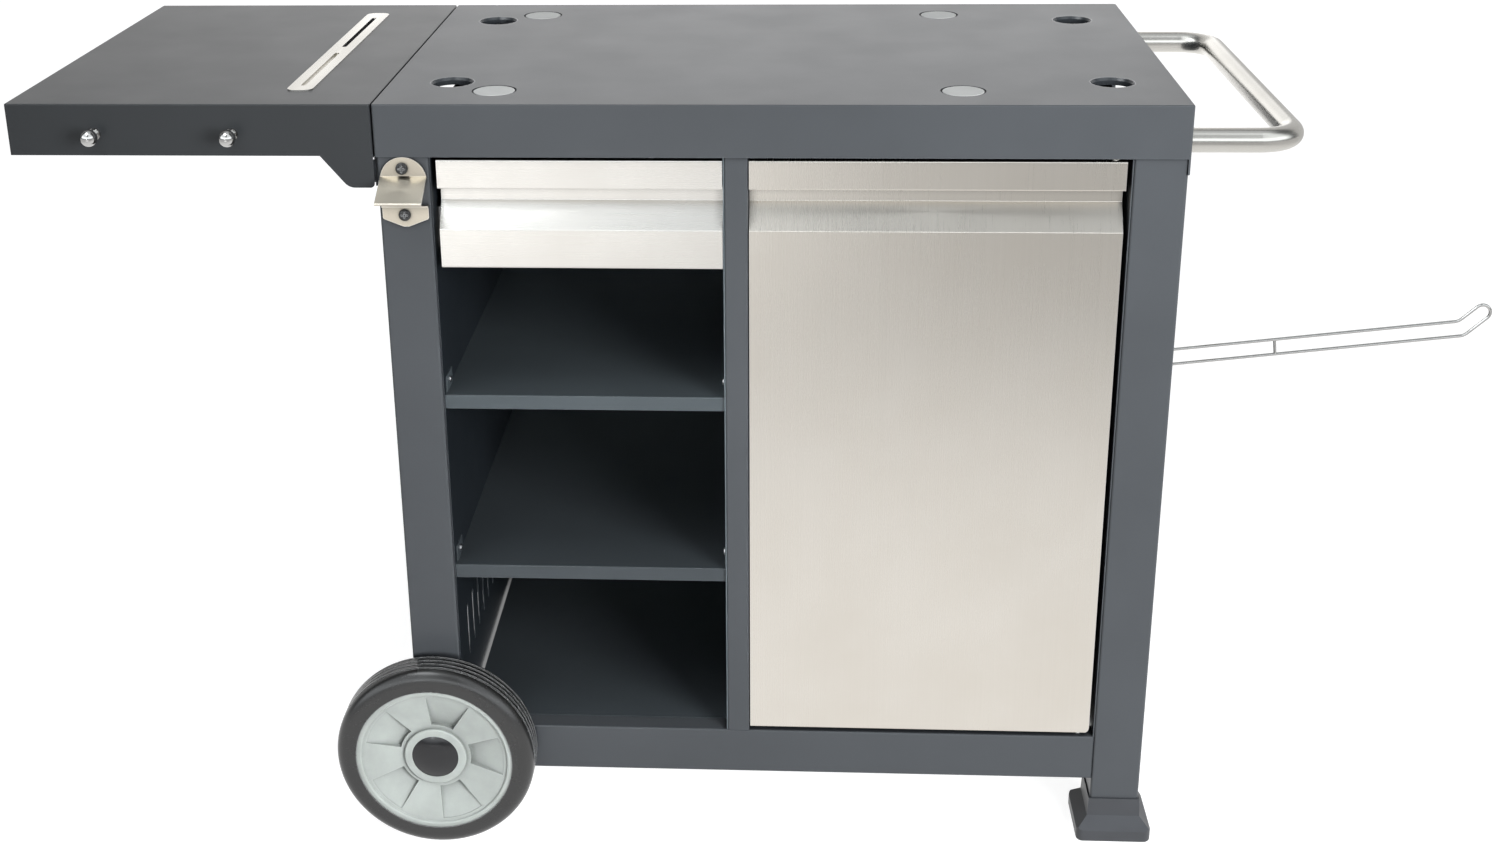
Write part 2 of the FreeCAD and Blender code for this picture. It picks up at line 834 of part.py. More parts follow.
def build_hub():
    rim_in = tyre_inner_r - hub_rim_wall
    rim_out = wheel_width - 1
    rim = turned([(rim_in, 1), (tyre_inner_r, 1), (tyre_inner_r, rim_out), (rim_in, rim_out)])
    lip = turned([(hub_lip_r, hub_lip_a), (hub_lip_r + 1, 1.6), (rim_in, 1), (rim_in, hub_lip_a + hub_web),
                  (hub_lip_r, hub_lip_a + hub_web)])
    web = turned([(hub_collar_r, hub_dish_a), (hub_lip_r, hub_lip_a), (hub_lip_r, hub_lip_a + hub_web),
                  (hub_collar_r, hub_dish_a + hub_web)])
    collar = turned([(hub_cap_r, hub_collar_a), (hub_collar_r - 1, hub_collar_a),
                     (hub_collar_r, hub_collar_a + 1), (hub_collar_r, hub_dish_a + hub_web),
                     (hub_cap_r, hub_dish_a + hub_web)])
    boss = turned([(axle_r + running_play, hub_dish_a), (hub_cap_r, hub_dish_a),
                   (hub_cap_r, hub_dish_a + hub_web), (hub_boss_r, hub_dish_a + hub_web),
                   (hub_boss_r, wheel_width - wheel_side_gap - 0.5),
                   (axle_r + running_play, wheel_width - wheel_side_gap - 0.5)])
    hub = join([rim, lip, web, collar, boss])
    outer, inner = hub_lip_r - 3.0, hub_collar_r + 5.0
    pocket = turned([(inner, dish_depth(inner) - 8), (outer, dish_depth(outer) - 8),
                     (outer, dish_depth(outer) + hub_pocket_outer),
                     (inner, dish_depth(inner) + hub_pocket_inner)], hub_pocket_angle)
    pockets = []
    for index in range(hub_pocket_count):
        copy = pocket.copy()
        copy.rotate(wheel_point(0, 0), V(0, 1, 0), hub_pocket_start + index * 360.0 / hub_pocket_count)
        pockets.append(copy)
    return hub.cut(group(pockets))


def build_hub_cap():
    """Hollow domed cap pressed into the collar."""
    def dome(radius, tip, rim):
        rise = rim - tip
        sphere_r = (radius * radius + rise * rise) / (2 * rise)
        ball = Part.makeSphere(sphere_r, wheel_point(0, tip + sphere_r))
        limit = rod(wheel_point(0, tip - 1), V(0, 1, 0), radius, rise + 1)
        return ball.common(limit)

    outer = dome(hub_cap_r, cap_tip_a, cap_rim_a)
    inner_r = hub_cap_r - cap_wall
    skirt = ring(wheel_point(0, cap_rim_a), V(0, 1, 0), hub_cap_r, inner_r, hub_dish_a - cap_rim_a)
    inner = dome(inner_r, cap_tip_a + cap_wall, cap_rim_a + 0.01)
    return join([outer.cut(inner), skirt])


def build_axle():
    start = at(wheel_front_d) + axle_end_a
    return rod(V(left_centre_x, start, axle_z), V(0, 1, 0), axle_r, -2 * start)


def axle_spacers():
    start = at(wheel_front_d) + wheel_width
    front = ring(V(left_centre_x, start, axle_z), V(0, 1, 0), spacer_r, axle_r, at(frame_sheet) - start)
    return [front, mirror_depth(front)]


def axle_retainers():
    start = at(wheel_front_d) + hub_dish_a - 0.2 - retainer_thickness
    front = ring(V(left_centre_x, start, axle_z), V(0, 1, 0), retainer_r, axle_r, retainer_thickness)
    return [front, mirror_depth(front)]


# ---------------------------------------------------------------------------
# Feet
# ---------------------------------------------------------------------------

def build_foot():
    x0, x1 = leg_inner_x, leg_outer_x
    y0, y1 = at(frame_sheet), at(frame_sheet + leg_depth)

    def outline(grow, z):
        corner = V(x0 - grow, y0 - grow, z)
        return Part.makePolygon([corner, V(x1 + grow, y0 - grow, z), V(x1 + grow, y1 + grow, z),
                                 V(x0 - grow, y1 + grow, z), corner])

    def taper(grow_a, z_a, grow_b, z_b):
        return Part.makeLoft([outline(grow_a, z_a), outline(grow_b, z_b)], True, True)

    sleeve = taper(foot_wall + foot_waist_grow, foot_waist_z, foot_wall, foot_top_z)
    flare = taper(foot_flare_grow, foot_flare_z, foot_wall + foot_waist_grow, foot_waist_z)
    base = box(x0 - foot_flare_grow, x1 + foot_flare_grow, y0 - foot_flare_grow, y1 + foot_flare_grow,
               0, foot_flare_z)
    corners = edges_along(base, V(0, 0, 1))
    base = base.makeFillet(foot_edge * 2, corners)
    bottom = [edge for edge in base.Edges if edge.BoundBox.ZMax < 1e-6]
    base = base.makeFillet(foot_edge, bottom)
    grow = foot_flare_grow
    limit = rounded_box(x0 - grow, x1 + grow, y0 - grow, y1 + grow, 0, foot_top_z, V(0, 0, 1), foot_edge * 2)
    foot = join([base, join([sleeve, flare]).common(limit)])
    leg = rounded_box(x0, x1, y0, y1, right_leg_bottom, foot_top_z + 1, V(0, 0, 1), leg_corner)
    return foot.cut(leg)


# ---------------------------------------------------------------------------
# Handle, bottle opener, towel arm
# ---------------------------------------------------------------------------

def build_handle():
    start_x = top_width / 2
    points = [V(start_x, at(handle_front_d), handle_z), V(handle_reach_x, at(handle_front_d), handle_z),
              V(handle_reach_x, at(handle_back_d), handle_z), V(start_x, at(handle_back_d), handle_z)]
    path = rounded_path(points, [handle_bend, handle_bend])
    outer = sweep_round(path, points[0], V(1, 0, 0), handle_r)
    inner = sweep_round(path, points[0], V(1, 0, 0), handle_r - handle_wall)
    return outer.cut(inner)


def handle_fixings():
    """Plug in each tube end and the bolt that pulls it against the leg."""
    fixings = []
    for depth in (handle_front_d, handle_back_d):
        mouth = V(top_width / 2, at(depth), handle_z)
        inside = V(leg_outer_x - frame_sheet, at(depth), handle_z)
        plug = rod(mouth, V(1, 0, 0), handle_r - handle_wall, plug_length)
        shank = rod(inside, V(1, 0, 0), handle_bolt_r, plug_length)
        head = rod(inside, V(-1, 0, 0), handle_bolt_r * 1.7, 5)
        fixings.append(join([plug, shank, head]))
    return fixings


def build_opener():
    """Pressed opener: round-topped plate, hood bent forward, pointed jaw below."""
    face = at(frame_sheet - opener_sheet)
    back = at(frame_sheet)
    out = at(-opener_lip_out)
    left, right = opener_x - opener_half, opener_x + opener_half

    disc = rod(V(opener_x, face, opener_top_z - opener_half), V(0, 1, 0), opener_half, opener_sheet)
    upper = disc.common(box(left, right, face, back, opener_bend_z, opener_top_z + 1))

    drop = opener_bend_z - opener_lip_z
    run = face - out
    length = math.hypot(drop, run)
    thick_y = opener_sheet * drop / length
    thick_z = opener_sheet * run / length
    hood = prism([V(left, back, opener_bend_z), V(left, face, opener_bend_z), V(left, out, opener_lip_z),
                  V(left, out + thick_y, opener_lip_z - thick_z),
                  V(left, back, opener_bend_z - opener_sheet * math.sqrt(2))],
                 V(2 * opener_half, 0, 0))
    spine_half = opener_half * opener_spine_share
    spine = box(opener_x - spine_half, opener_x + spine_half, face + opener_sheet * 0.4, back,
                opener_jaw_z, opener_bend_z)
    jaw = prism([V(left, face, opener_jaw_z), V(right, face, opener_jaw_z),
                 V(right, face, opener_shoulder_z), V(opener_x + opener_tip_half, face, opener_tip_z),
                 V(opener_x - opener_tip_half, face, opener_tip_z), V(left, face, opener_shoulder_z)],
                V(0, opener_sheet, 0))
    corners = [edge for edge in edges_along(jaw, V(0, 1, 0)) if edge.CenterOfMass.z < opener_jaw_z - 1]
    jaw = jaw.makeFillet(opener_jaw_round, corners)
    tooth = box(left, right, face - opener_tooth, face, opener_jaw_z - opener_sheet, opener_jaw_z)
    lip = rod(V(left, out + opener_lip_r, opener_lip_z - opener_lip_r / 2), V(1, 0, 0),
              opener_lip_r, 2 * opener_half)
    return join([upper, hood, spine, jaw, tooth, lip])


def arm_points():
    """Centre line of the closed wire loop, from its lower root to its upper root."""
    root_x = leg_inner_x + arm_plate_sheet
    low_dir = V(math.cos(arm_slope), 0, math.sin(arm_slope))
    tip_dir = V(math.cos(arm_tip_slope), 0, math.sin(arm_tip_slope))
    low_up = V(-low_dir.z, 0, low_dir.x)
    tip_up = V(-tip_dir.z, 0, tip_dir.x)
    low_bend = V(arm_bend_x, 0, arm_bend_z)
    high_bend = low_bend + (low_up + tip_up) * (arm_spacing / (1 + low_up.dot(tip_up)))
    low_end = low_bend + tip_dir * (arm_tip_length + arm_spacing / 2)
    high_end = low_end + tip_up * arm_spacing
    low_root = low_bend + low_dir * ((root_x - low_bend.x) / low_dir.x)
    high_root = high_bend + low_dir * ((root_x - high_bend.x) / low_dir.x)
    return [low_root, low_bend, low_end, high_end, high_bend, high_root]


def build_towel_arm():
    points = arm_points()
    end_radius = arm_spacing / 2 - 0.1
    path = rounded_path(points, [arm_bend_radius, end_radius, end_radius, arm_bend_radius])
    first_dir = (points[1] - points[0]).normalize()
    loop = sweep_round(path, points[0], first_dir, arm_wire_r)
    low = points[0] + first_dir * ((arm_tie_x - points[0].x) / first_dir.x)
    up = V(-first_dir.z, 0, first_dir.x)
    tie = rod(low, up, arm_wire_r * 0.9, arm_spacing)
    trim = box(leg_inner_x, leg_inner_x + arm_plate_sheet, -50, 50, 400, 600)
    return join([loop, tie]).cut(trim)


def arm_plate_centre():
    points = arm_points()
    return (points[0] + points[-1]) * 0.5


def build_arm_plate():
    centre = arm_plate_centre()
    half_y, half_z = arm_plate_width / 2, arm_plate_height / 2
    return rounded_box(leg_inner_x, leg_inner_x + arm_plate_sheet, -half_y, half_y,
                       centre.z - half_z, centre.z + half_z, V(1, 0, 0), 5.0)


def arm_screw_seats():
    centre = arm_plate_centre()
    reach_y, reach_z = arm_plate_width / 2 - 8, arm_plate_height / 2 - 8
    x = leg_inner_x + arm_plate_sheet
    return [(V(x, y, centre.z + z), V(1, 0, 0)) for y in (-reach_y, reach_y) for z in (-reach_z, reach_z)]


# ---------------------------------------------------------------------------
# Side shelf and its pivots
# ---------------------------------------------------------------------------

def shelf_ear():
    """Flange below the front skirt that carries the pivot pin."""
    z_top = top_height - shelf_skirt + 1
    ear = prism([V(ear_outer_x, front_y, z_top), V(ear_chamfer_x, front_y, ear_drop_z),
                 V(shelf_seam_x, front_y, ear_drop_z), V(shelf_seam_x, front_y, z_top)],
                V(0, ear_sheet, 0))
    for corner_x, radius in ((ear_chamfer_x, ear_round_left), (shelf_seam_x, ear_round_right)):
        corner = [edge for edge in edges_along(ear, V(0, 1, 0))
                  if edge.CenterOfMass.z < ear_drop_z + 1e-6
                  and abs(edge.CenterOfMass.x - corner_x) < 1e-6]
        ear = ear.makeFillet(radius, corner)
    return ear


def build_shelf_tray():
    tray = folded_tray(shelf_end_x, shelf_seam_x, front_y, back_y, top_height - shelf_skirt, top_height)
    seam_lip = box(shelf_seam_x - frame_sheet, shelf_seam_x, front_y + corner_radius,
                   back_y - corner_radius, top_height - seam_skirt, top_height - shelf_skirt + 1)
    ear = shelf_ear()
    tray = join([tray, seam_lip, ear, mirror_depth(ear)])
    slots = []
    for near, far in ((slot_near_front_d, slot_near_back_d), (slot_far_front_d, slot_far_back_d)):
        wide = slot_width / 2 + plate_channel_wall + 1
        slots.append(box(slot_x - wide, slot_x + wide, at(near - 3), at(far + 3),
                         top_height - 5, top_height + 5))
    for x in (knob_left_x, knob_right_x):
        slots.append(rod(V(x, front_y - 5, knob_z), V(0, 1, 0), knob_thread_r, 15))
    return tray.cut(group(slots))


def build_slot_plate():
    low = top_height
    up = V(0, 0, 1)
    plate = rounded_box(plate_left_x, plate_right_x, at(plate_front_d), at(plate_back_d),
                        low, low + plate_sheet, up, plate_round)
    half = slot_width / 2
    wide = half + plate_channel_wall
    channel_end = plate_channel_wall
    near, far = slot_near_front_d, slot_near_back_d
    below = box(slot_x - wide, slot_x + wide, at(near - channel_end), at(far + channel_end),
                low - plate_channel_depth, low)
    floor_z = low - plate_channel_depth + plate_sheet
    near_slot = rounded_box(slot_x - half, slot_x + half, at(near), at(far),
                            floor_z, low + 5, up, half - 0.01)
    far_slot = rounded_box(slot_x - half, slot_x + half, at(slot_far_front_d), at(slot_far_back_d),
                           low - 1, low + 5, up, half - 0.01)
    return join([plate, below]).cut(group([near_slot, far_slot]))


def build_knob(x):
    outward = V(0, -1, 0)
    base = rod(V(x, front_y, knob_z), outward, knob_base_r, knob_base_height)
    neck = rod(V(x, front_y, knob_z), outward, knob_neck_r, knob_ball_out)
    ball = Part.makeSphere(knob_ball_r, V(x, front_y - knob_ball_out, knob_z))
    thread = rod(V(x, front_y, knob_z), V(0, 1, 0), knob_thread_r, knob_thread_length)
    return join([base, neck, ball, thread])


def build_knob_nut(x):
    centre = V(x, at(frame_sheet), knob_z)
    points = []
    for corner in range(6):
        angle = math.radians(60 * corner)
        points.append(centre + V(math.cos(angle), 0, math.sin(angle)) * knob_nut_corner_r)
    nut = prism(points, V(0, knob_nut_height, 0))
    return nut.cut(rod(centre, V(0, 1, 0), knob_thread_r, knob_nut_height))


def shelf_pivot_pins():
    """Headed pins welded behind the ears; each runs in a cabinet bracket."""
    inward = V(0, 1, 0)
    start = V(ear_pivot_x, front_y + ear_sheet, ear_pivot_z)
    to_bracket = bracket_d - ear_sheet
    clip_start = start + inward * (to_bracket + bracket_sheet + shelf_pin_gap)
    collar = rod(start, inward, shelf_collar_r, to_bracket - shelf_pin_gap)
    shank = rod(start, inward, shelf_pin_r, to_bracket + bracket_sheet + shelf_pin_tail)
    clip = rod(clip_start, inward, shelf_clip_r, shelf_clip_thickness)
    pin = join([collar, shank, clip])
    return [pin, mirror_depth(pin)]


def shelf_brackets():
    y0 = at(bracket_d)
    y1 = y0 + bracket_sheet
    eye = rod(V(ear_pivot_x, y0, ear_pivot_z), V(0, 1, 0), bracket_reach, bracket_sheet)
    arm = box(ear_pivot_x, -leg_outer_x, y0, y1, ear_pivot_z - bracket_reach, ear_pivot_z + bracket_reach)
    flange = box(-leg_outer_x - bracket_sheet, -leg_outer_x, y0, y0 + bracket_flange_length,
                 bracket_low_z, bracket_high_z)
    hole = rod(V(ear_pivot_x, y0 - 5, ear_pivot_z), V(0, 1, 0), shelf_pin_r + running_play, 20)
    front = join([eye, arm, flange]).cut(hole)
    return [front, mirror_depth(front)]


def bracket_bolt_seats():
    seats = []
    x = -leg_outer_x - bracket_sheet
    for extra in bracket_bolt_depths:
        for y in (at(bracket_d + extra), -at(bracket_d + extra)):
            seats.append((V(x, y, (bracket_low_z + bracket_high_z) / 2), V(-1, 0, 0)))
    return seats


def frame_bolt_seats():
    """Bolts that hold the bottom rails, on the outer side of each leg."""
    seats = []
    mid = frame_sheet + leg_depth / 2
    for side in (-1, 1):
        for y in (at(mid), -at(mid)):
            for z in (rail_bottom + bolt_in_rail, rail_top_z + bolt_above_rail):
                seats.append((V(side * leg_outer_x, y, z), V(side, 0, 0)))
    return seats


def door_magnet():
    """Magnetic catch on the mullion, facing the strike plate on the door's liner."""
    y0 = at(front_back_d) + panel_sheet + magnet_gap
    return box(mullion_right_x, mullion_right_x + magnet_width, y0, y0 + magnet_depth,
               magnet_low_z, magnet_high_z)


def door_magnet_bracket():
    y0 = at(rail_front_d + rail_depth)
    y1 = at(front_back_d) + panel_sheet + magnet_gap + magnet_depth
    return box(mullion_right_x - magnet_bracket_sheet, mullion_right_x, y0, y1,
               magnet_low_z - magnet_edge, magnet_high_z + magnet_edge)


def door_strike():
    x0 = mullion_right_x + strike_inset
    y0 = at(front_back_d) + panel_sheet
    return box(x0, x0 + magnet_width, y0, y0 + strike_sheet, magnet_low_z, magnet_high_z)


# ---------------------------------------------------------------------------
# Assemble the nodes and export them
# ---------------------------------------------------------------------------

panel_seats = shelf_screw_seats() + back_screw_seats()
small_screw = (small_head_r, small_head_height, small_shank_r, small_shank_length)
bolt = (pan_head_r, pan_head_height, bolt_shank_r, bolt_shank_length)
opener_screw = (opener_head_r, pan_head_height, bolt_shank_r, bolt_shank_length)
panel_screws = [pan_screw(seat, outward, *small_screw) for seat, outward in panel_seats]
frame_bolts = [pan_screw(seat, outward, *bolt)
               for seat, outward in frame_bolt_seats() + bracket_bolt_seats()]
arm_screws = [pan_screw(seat, outward, *small_screw) for seat, outward in arm_screw_seats()]
opener_face_y = at(frame_sheet - opener_sheet)
opener_screws = [pan_screw(V(opener_screw_x, opener_face_y, z), V(0, -1, 0), *opener_screw)
                 for z in (opener_screw_high_z, opener_screw_low_z)]

bushes = door_bushes()
bush_holes = bush_spigots()
front_tyre = build_tyre()
front_hub = build_hub()
front_cap = build_hub_cap()
front_foot = build_foot()
knob_places = (knob_left_x, knob_right_x)

nodes = {
    "worktop": build_worktop(),
    "foot_cups": group([build_foot_cup(x, d) for x, d in hole_positions()]),
    "pad_rings": group([build_pad_ring(x, d) for x, d in pad_positions()]),
    "worktop_pads": group([build_pad(x, d) for x, d in pad_positions()]),
    "front_left_leg": drill(build_leg(True, True), frame_bolts + opener_screws + panel_screws),
    "rear_left_leg": drill(build_leg(True, False), frame_bolts + panel_screws),
    "front_right_leg": drill(build_leg(False, True), frame_bolts),
    "rear_right_leg": drill(build_leg(False, False), frame_bolts),
    "bottom_rails": drill(group(build_cross_rails(rail_bottom, rail_top_z)), bush_holes + panel_screws),
    "top_rails": drill(group(build_cross_rails(skirt_bottom_z, top_under_z)), bush_holes),
    "side_rails": group(build_side_rails()),
    "centre_mullion": build_mullion(),
    "left_side_panel": drill(build_side_panel(True), panel_screws),
    "right_side_panel": drill(build_side_panel(False), panel_screws + arm_screws),
    "back_panel": drill(build_back_panel(), panel_screws),
    "centre_partition": drill(build_partition(), panel_screws),
    "bottom_pan": build_bottom_pan(),
    "upper_shelf": drill(build_shelf(upper_shelf_z), panel_screws),
    "lower_shelf": drill(build_shelf(lower_shelf_z), panel_screws),
    "panel_screws": group(panel_screws),
    "frame_bolts": group(frame_bolts),
    "right_feet": group([front_foot, mirror_depth(front_foot)]),
    "axle": build_axle(),
    "axle_spacers": group(axle_spacers()),
    "axle_retainers": group(axle_retainers()),
    "handle": build_handle(),
    "handle_fixings": group(handle_fixings()),
    "bottle_opener": drill(build_opener(), opener_screws),
    "opener_screws": group(opener_screws),
    "towel_arm": build_towel_arm(),
    "towel_arm_plate": drill(build_arm_plate(), arm_screws),
    "towel_arm_screws": group(arm_screws),
    "door_bushes": group(bushes),
    "door_magnet": door_magnet(),
    "door_magnet_bracket": door_magnet_bracket(),
    "shelf_brackets": drill(group(shelf_brackets()), frame_bolts),
    "slide_cabinet_members": group(slide_cabinet_members()),
    "slide_middle_members": group(slide_middle_members()),
    "slide_balls": group(slide_balls()),
    "slide_drawer_members": group(slide_drawer_members()),
    "drawer_front": folded_front(drawer_left_x, drawer_right_x, drawer_bottom_z, []),
    "drawer_liner": build_liner(drawer_left_x, drawer_right_x, drawer_bottom_z),
    "drawer_box": build_drawer_box(),
    "door_skin": build_door_skin(),
    "door_liner": build_door_liner(),
    "door_pins": group(door_pin_shapes()),
    "door_pin_blocks": group(door_pin_blocks()),
    "door_strike": door_strike(),
    "front_tyre": front_tyre,
    "front_hub": front_hub,
    "front_hub_cap": front_cap,
    "rear_tyre": mirror_depth(front_tyre),
    "rear_hub": mirror_depth(front_hub),
    "rear_hub_cap": mirror_depth(front_cap),
    "side_shelf_tray": build_shelf_tray(),
    "slot_plate": build_slot_plate(),
    "hook_knobs": group([build_knob(x) for x in knob_places]),
    "knob_nuts": group([build_knob_nut(x) for x in knob_places]),
    "shelf_pivot_pins": group(shelf_pivot_pins()),
}

for name, shape in nodes.items():
    placed = shape.copy()
    placed.translate(origin_shift)
    if not placed.isValid():
        print("not valid:", name)
    placed.exportStep("parts/" + name + ".step")

print("nodes", len(nodes), "shift", round(origin_shift.x, 4), "arm tip", round(arm_tip_x, 4))
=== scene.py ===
import json
import math

import bmesh
import bpy
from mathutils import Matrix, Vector


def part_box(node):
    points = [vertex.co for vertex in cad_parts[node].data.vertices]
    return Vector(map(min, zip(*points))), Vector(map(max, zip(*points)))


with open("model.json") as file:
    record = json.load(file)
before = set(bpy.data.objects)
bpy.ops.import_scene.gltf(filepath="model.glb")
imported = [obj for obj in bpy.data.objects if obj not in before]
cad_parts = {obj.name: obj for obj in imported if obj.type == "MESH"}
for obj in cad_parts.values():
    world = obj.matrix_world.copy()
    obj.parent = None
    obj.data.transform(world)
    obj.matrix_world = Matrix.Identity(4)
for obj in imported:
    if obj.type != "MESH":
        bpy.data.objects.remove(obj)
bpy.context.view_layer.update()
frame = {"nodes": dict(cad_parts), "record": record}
nodes = frame["nodes"]

# ---------------------------------------------------------------------------
# Shader helpers: every material is built from nodes
# ---------------------------------------------------------------------------


class Shader:
    """A material's node tree with short calls to add and join nodes."""

    def __init__(self, name):
        self.material = bpy.data.materials.new(name)
        self.material.use_nodes = True
        self.tree = self.material.node_tree
        self.tree.nodes.clear()
        self.output = self.add("ShaderNodeOutputMaterial")
        self.surface = self.add("ShaderNodeBsdfPrincipled")
        self.link(self.surface.outputs["BSDF"], self.output.inputs["Surface"])
        self.place = self.add("ShaderNodeTexCoord").outputs["Object"]

    def add(self, kind):
        return self.tree.nodes.new(kind)

    def link(self, source, target):
        self.tree.links.new(source, target)

    def feed(self, node, key, value):
        """Give an input a number, a colour or another node's output."""
        if isinstance(value, bpy.types.NodeSocket):
            self.link(value, node.inputs[key])
        else:
            node.inputs[key].default_value = value

    def set(self, key, value):
        self.feed(self.surface, key, value)

    def stretched(self, scale):
        node = self.add("ShaderNodeMapping")
        self.link(self.place, node.inputs["Vector"])
        node.inputs["Scale"].default_value = scale
        return node.outputs["Vector"]

    def noise(self, scale, detail=2.0, rough=0.5, vector=None):
        node = self.add("ShaderNodeTexNoise")
        self.link(vector or self.place, node.inputs["Vector"])
        node.inputs["Scale"].default_value = scale
        node.inputs["Detail"].default_value = detail
        node.inputs["Roughness"].default_value = rough
        return node.outputs["Fac"]

    def ranged(self, value, low, high, new_low=0.0, new_high=1.0):
        """The value's place between low and high, put on the new range."""
        node = self.add("ShaderNodeMapRange")
        self.feed(node, "Value", value)
        node.inputs["From Min"].default_value = low
        node.inputs["From Max"].default_value = high
        node.inputs["To Min"].default_value = new_low
        node.inputs["To Max"].default_value = new_high
        return node.outputs["Result"]

    def mix(self, share, first, second):
        """The first colour at share 0, the second at share 1."""
        node = self.add("ShaderNodeMix")
        node.data_type = "RGBA"
        colour_a = 6       # the node's colour sockets, which share their names with others
        colour_b = 7
        colour_result = 2
        self.feed(node, "Factor", share)
        self.feed(node, colour_a, first)
        self.feed(node, colour_b, second)
        return node.outputs[colour_result]

    def blend(self, share, first, second):
        """The first surface at share 0, the second at share 1."""
        node = self.add("ShaderNodeMixShader")
        self.link(share, node.inputs[0])
        self.link(first, node.inputs[1])
        self.link(second, node.inputs[2])
        return node.outputs["Shader"]

    def split(self, vector):
        """A vector's x, y and z."""
        node = self.add("ShaderNodeSeparateXYZ")
        self.link(vector, node.inputs["Vector"])
        return node.outputs

    def math(self, operation, first, second=0.0):
        node = self.add("ShaderNodeMath")
        node.operation = operation
        self.feed(node, 0, first)
        self.feed(node, 1, second)
        return node.outputs[0]

    def bump(self, height, strength, distance, base=None):
        node = self.add("ShaderNodeBump")
        self.link(height, node.inputs["Height"])
        node.inputs["Strength"].default_value = strength
        node.inputs["Distance"].default_value = distance
        if base is not None:
            self.link(base, node.inputs["Normal"])
        return node.outputs["Normal"]

    def edge_mask(self, radius):
        """Near 1 on outer edges, 0 on flats."""
        flat = 1.0     # how far the rounded normal agrees with the true one
        edge = 0.8
        node = self.add("ShaderNodeBevel")
        node.samples = 4
        node.inputs["Radius"].default_value = radius
        plain = self.add("ShaderNodeNewGeometry")
        dot = self.add("ShaderNodeVectorMath")
        dot.operation = "DOT_PRODUCT"
        self.link(node.outputs["Normal"], dot.inputs[0])
        self.link(plain.outputs["Normal"], dot.inputs[1])
        return self.ranged(dot.outputs["Value"], flat, edge)

    def shade_mask(self, distance):
        """Near 1 in corners and pockets, 0 in the open: where shade is painted into the colours.
        """
        closed = 0.55
        in_the_open = 1.0
        node = self.add("ShaderNodeAmbientOcclusion")
        node.samples = 4
        node.inputs["Distance"].default_value = distance
        return self.ranged(node.outputs["AO"], in_the_open, closed)


def colour(red, green, blue):
    return (red, green, blue, 1.0)


def scaled(base, factor, lift=0.0):
    """A lighter or darker version of a colour, kept within range."""
    return colour(*[min(part * factor + lift, 1.0) for part in base])


# ---------------------------------------------------------------------------
# Materials
# ---------------------------------------------------------------------------

def powder_coat(name, base, lift, crease_shade=0.0, behind=None):
    """Satin charcoal powder coat: orange peel, tone drift, lighter edges from wear, and painted
    shade that darkens the creases.
    Faces that look to the back take the tone "behind", if one is given.
    """
    edge_radius = 0.0012     # metres
    # How far the painted shade in creases reaches, in metres.
    shade_reach = 0.007
    peel_depth = 0.0004
    wear_share = 0.35
    open_shine = 0.28
    # Shine and near-black tone that the painted shade gives the creases.
    crease_shade_shine = 0.03
    crease_shade_tone = colour(0.002, 0.002, 0.003)
    s = Shader(name)
    drift = s.noise(3.0, detail=4.0, rough=0.6)
    fleck = s.noise(900.0)
    mottle = s.math("ADD", s.math("MULTIPLY", drift, 0.8), s.math("MULTIPLY", fleck, 0.2))
    tone = s.mix(s.ranged(mottle, 0.35, 0.65), scaled(base, 0.9), scaled(base, 1.1))
    # Faces looking back take the behind tone, so painted light in the base tone stays on the faces
    # looking forward.
    if behind is not None:
        facing = s.split(s.add("ShaderNodeNewGeometry").outputs["Normal"])
        tone = s.mix(s.ranged(facing["Y"], 0.4, 0.6), tone, colour(*behind))
    patchy = s.ranged(s.noise(60.0), 0.3, 0.8, new_low=0.25)
    edge_lightening = s.math("MULTIPLY", s.edge_mask(edge_radius), patchy)
    tone = s.mix(s.math("MULTIPLY", edge_lightening, wear_share), tone, colour(*lift))
    s.set("Specular IOR Level", open_shine)
    # Painted shade: creases darken towards near-black and lose most of their shine.
    if crease_shade > 0.0:
        painted_shade = s.math("MULTIPLY", s.shade_mask(shade_reach), crease_shade)
        tone = s.mix(painted_shade, tone, crease_shade_tone)
        s.set("Specular IOR Level", s.ranged(painted_shade, 0.0, 1.0, open_shine, crease_shade_shine))
    s.set("Base Color", tone)
    s.set("Roughness", s.ranged(s.noise(14.0, detail=3.0), 0.3, 0.7, new_low=0.35, new_high=0.38))
    s.set("Normal", s.bump(s.noise(700.0, detail=1.0), strength=0.10, distance=peel_depth))
    return s.material


